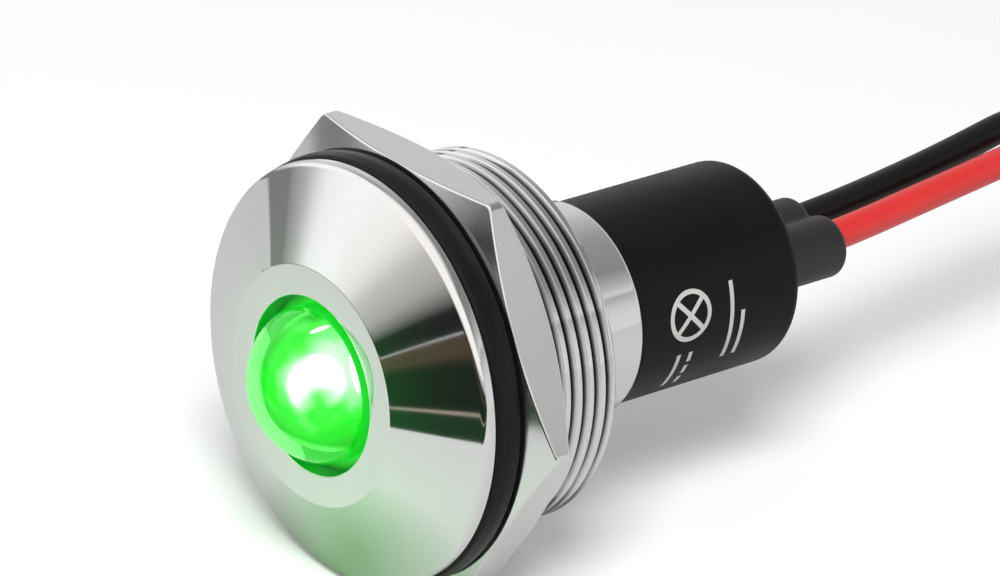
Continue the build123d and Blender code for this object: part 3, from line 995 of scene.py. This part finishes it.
def floor_material():
    """Pale matt floor. It ends in the dark before and left of the lamp, as polished steel shows."""
    material, tree, shader = node_material("floor")
    space = texture_space(tree)
    ray = tree.nodes.new("ShaderNodeLightPath").outputs
    mirrored = ray["Is Glossy Ray"]
    seen = larger(tree, ray["Is Camera Ray"], ray["Is Transmission Ray"])
    from_foot = vector_math(tree, "DISTANCE", space, FOOT)["Value"]
    pale = tint(tree, noise(tree, space, 60, 2.0), grey(0.855), grey(0.865))
    # Painted shadow with a painted green glow round the lamp's foot, seen only in reflections,
    # where the floor is also darker.
    painted_foot_shadow = tint(tree, rise(tree, from_foot, FOOT_SHADE), (0.22, 0.34, 0.21), grey(0.6))
    set_inputs(shader, {"Roughness": 0.8, "Base Color": tint(tree, mirrored, pale, painted_foot_shadow)})
    lifted = tree.nodes.new("ShaderNodeAddShader")
    tree.links.new(shader.outputs[0], lifted.inputs[0])
    lift = emission(tree, (*WHITE, 1), product(tree, seen, LIFT))
    tree.links.new(lift, lifted.inputs[1])
    away = rise(tree, vector_math(tree, "LENGTH", space)["Value"], HAZE, True)
    haze = larger(tree, spread(tree, mirrored, 0.45, 0.7, 0.0, 1.0), seen)
    beyond, shade = dark_before_lamp(tree, separate(tree, space))
    surface = lifted.outputs[0]
    for share, layer in (
        (away, emission(tree, (*WHITE, 1), haze)),
        (product(tree, beyond, mirrored), emission(tree, shade)),
    ):
        swap = tree.nodes.new("ShaderNodeMixShader")
        tree.links.new(share, swap.inputs[0])
        tree.links.new(surface, swap.inputs[1])
        tree.links.new(layer, swap.inputs[2])
        surface = swap.outputs[0]
    tree.links.new(surface, tree.nodes["Material Output"].inputs["Surface"])
    return material


FLOOR_HALF = 4000
floor_mesh = bpy.data.meshes.new("floor")
floor_mesh.from_pydata(
    [
        (x * FLOOR_HALF * MM, y * FLOOR_HALF * MM, FLOOR * MM)
        for x, y in ((-1, -1), (1, -1), (1, 1), (-1, 1))
    ],
    [],
    [(0, 1, 2, 3)],
)
floor_mesh.materials.append(floor_material())
floor = bpy.data.objects.new("floor", floor_mesh)
scene.collection.objects.link(floor)

# Surroundings: white to the camera, and grey levels by height for what is seen in a reflection
world = bpy.data.worlds.new("world")
scene.world = world
world.use_nodes = True
sky = world.node_tree
sky_ray = sky.nodes.new("ShaderNodeLightPath").outputs
way = separate(sky, sky.nodes.new("ShaderNodeTexCoord").outputs["Generated"])
LOWEST = -0.2
AMBIENT = 0.27


def height_ramp(stops, warmth=0.0):
    """A grey level by the sine of the elevation, from (degrees, level) stops."""
    ramp = sky.nodes.new("ShaderNodeValToRGB")
    set_inputs(ramp, {"Fac": rise(sky, way["Z"], (LOWEST, 1.0))})
    points = ramp.color_ramp.elements
    for i, (degrees, shade) in enumerate(stops):
        place = (math.sin(math.radians(degrees)) - LOWEST) / (1 - LOWEST)
        point = points[i] if i < 2 else points.new(place)
        point.position = place
        point.color = (shade, shade * (1 - warmth), shade * (1 - 2 * warmth), 1)
    return ramp.outputs["Color"]


before_lamp = height_ramp(
    [(-8, 0.003), (3.6, 0.004), (7.3, 0.38), (10.8, 0.55), (13.0, 0.95), (18, 1.0)], 0.03
)
left_of_lamp = height_ramp(
    [(-8, 0.2), (-1, 0.21), (3.2, 0.44), (7.3, 0.92), (11, 1.0), (40, 1.0)]
)
behind_right = height_ramp(
    [(-8, 0.7), (6, 0.68), (13, 0.6), (19.6, 0.4), (22.3, 0.64)]
    + [(27, 0.46), (36, 0.24), (52, 0.2), (80, 0.9)]
)
behind_left = height_ramp(
    [(-8, 0.7), (6, 0.68), (24, 0.62), (38, 0.42), (52, 0.25), (80, 0.9)]
)
to_left = fall(sky, way["X"], (-0.68, -0.35), True)
to_rear = rise(sky, way["Y"], (-0.25, 0.2), True)
to_right = rise(sky, way["X"], (-0.35, 0.35))
front_half = tint(sky, to_left, before_lamp, left_of_lamp)
rear_half = tint(sky, to_right, behind_left, behind_right)
room = tint(sky, to_rear, front_half, rear_half)
direct = larger(
    sky,
    sky_ray["Is Camera Ray"],
    larger(sky, sky_ray["Is Glossy Ray"], sky_ray["Is Transmission Ray"]),
)
set_inputs(
    sky.nodes["Background"],
    {
        "Color": tint(sky, sky_ray["Is Glossy Ray"], WHITE, room),
        "Strength": spread(sky, direct, AMBIENT, 1.0, 0.0, 1.0),
    },
)


# Lamps: a key light, a weak fill, and the green light that the lens throws on the head
def add_lamp(name, kind, spot, energy):
    data = bpy.data.lights.new(name, kind)
    data.energy = energy
    lamp = bpy.data.objects.new(name, data)
    lamp.location = Vector(spot) * MM
    lamp.visible_glossy = False
    scene.collection.objects.link(lamp)
    return lamp


LAMP_TARGET = Vector((0, 8, 0))
for name, spot, size, energy in (
    ("key_light", (205, -205, 400), 200, 2.45),
    ("fill_light", (-300, -80, 300), 300, 0.1),
):
    soft = add_lamp(name, "AREA", spot, energy)
    soft.data.shape = "SQUARE"
    soft.data.size = size * MM
    look = (LAMP_TARGET - Vector(spot)).normalized()
    soft.rotation_euler = look.to_track_quat("-Z", "Y").to_euler()
glow = add_lamp("lens_glow", "POINT", (0, -9.6, 0), 0.0013)
glow.data.color = (0.12, 1.0, 0.16)
glow.data.shadow_soft_size = 2.2 * MM

scene.view_settings.view_transform = "Standard"

# Materials of the solids that stay as they are
for name, material in {
    "wire_boot": boot_skin,
    "rear_plug": plug_skin,
    "coil_tie": tie_skin,
    "lens_seal": edge_glow,
    "reflector_cup": cup_glow,
    "led_board": board_white,
    "led_package": package_glow,
    "led_chips": chip_glow,
    "carrier_tube": carrier_skin,
    "driver_board": board_green,
    "led_lead_positive": tinned_wire,
    "led_lead_negative": tinned_wire,
    "solder_joints": solder_skin,
    "series_resistor": resistor_skin,
    "polarity_diode": diode_skin,
    "red_wire_tip": tinned_wire,
    "black_wire_tip": tinned_wire,
}.items():
    for slot in nodes[name].material_slots:
        slot.material = material
